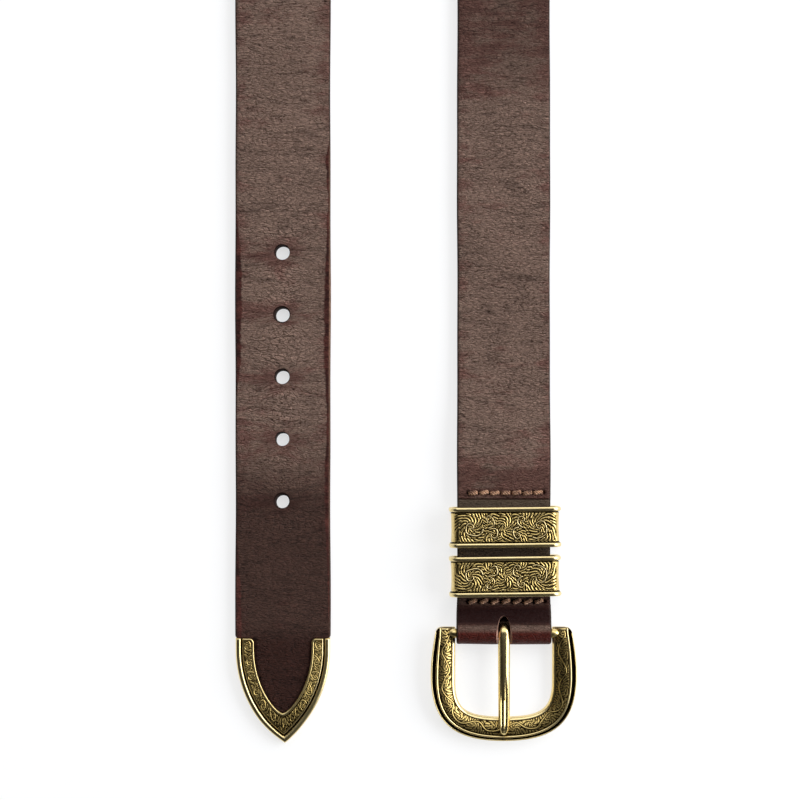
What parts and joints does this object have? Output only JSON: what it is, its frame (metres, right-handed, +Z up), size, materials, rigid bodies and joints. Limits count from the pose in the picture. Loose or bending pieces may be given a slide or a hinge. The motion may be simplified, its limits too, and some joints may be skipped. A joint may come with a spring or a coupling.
{
  "type": "western leather belt with buckle",
  "caption": "Western leather belt laid in a loop, with a cast brass buckle and round prong, engraved keepers, punched holes and a pointed metal tip.",
  "frame": {"origin": "middle of the bottom of the whole belt as it lies, on the floor", "axes": "+Y along the belt's straight ends, from the buckle and the tip towards the turn; +X from the tip end to the buckle end; +Z up"},
  "size_m": [0.1367, 0.5284, 0.0382],
  "materials": {
    "leather": "dark brown waxed full-grain leather, burnished oxblood edges, fine cross grain",
    "antique_brass": "antique brass, worn bright on the raised scroll work and dark in its ground",
    "polished_brass": "antique brass polished smooth by use",
    "thread": "waxed reddish brown thread"
  },
  "bodies": {
    "strap": {"strap": "leather", "tip": "antique_brass"},
    "buckle_frame": {"buckle_frame": "antique_brass"},
    "prong": {"prong": "polished_brass"},
    "keeper_upper": {"keeper_upper": "antique_brass"},
    "keeper_lower": {"keeper_lower": "antique_brass"}
  },
  "joints": [
    {"name": "buckle_hinge", "type": "hinge", "parent": "strap", "child": "buckle_frame", "pos_m": [0.0391, -0.22073, 0.0048], "axis": [-1, 0, 0], "range_deg": [-90, 30]},
    {"name": "prong_hinge", "type": "hinge", "parent": "buckle_frame", "child": "prong", "pos_m": [0.0391, -0.22073, 0.0048], "axis": [-1, 0, 0], "range_deg": [0, 100]},
    {"name": "keeper_upper_slide", "type": "slide", "parent": "strap", "child": "keeper_upper", "axis": [0, 1, 0], "range_m": [-0.0016, 0.0024]},
    {"name": "keeper_lower_slide", "type": "slide", "parent": "strap", "child": "keeper_lower", "axis": [0, 1, 0], "range_m": [-0.0008, 0.0016]}
  ]
}
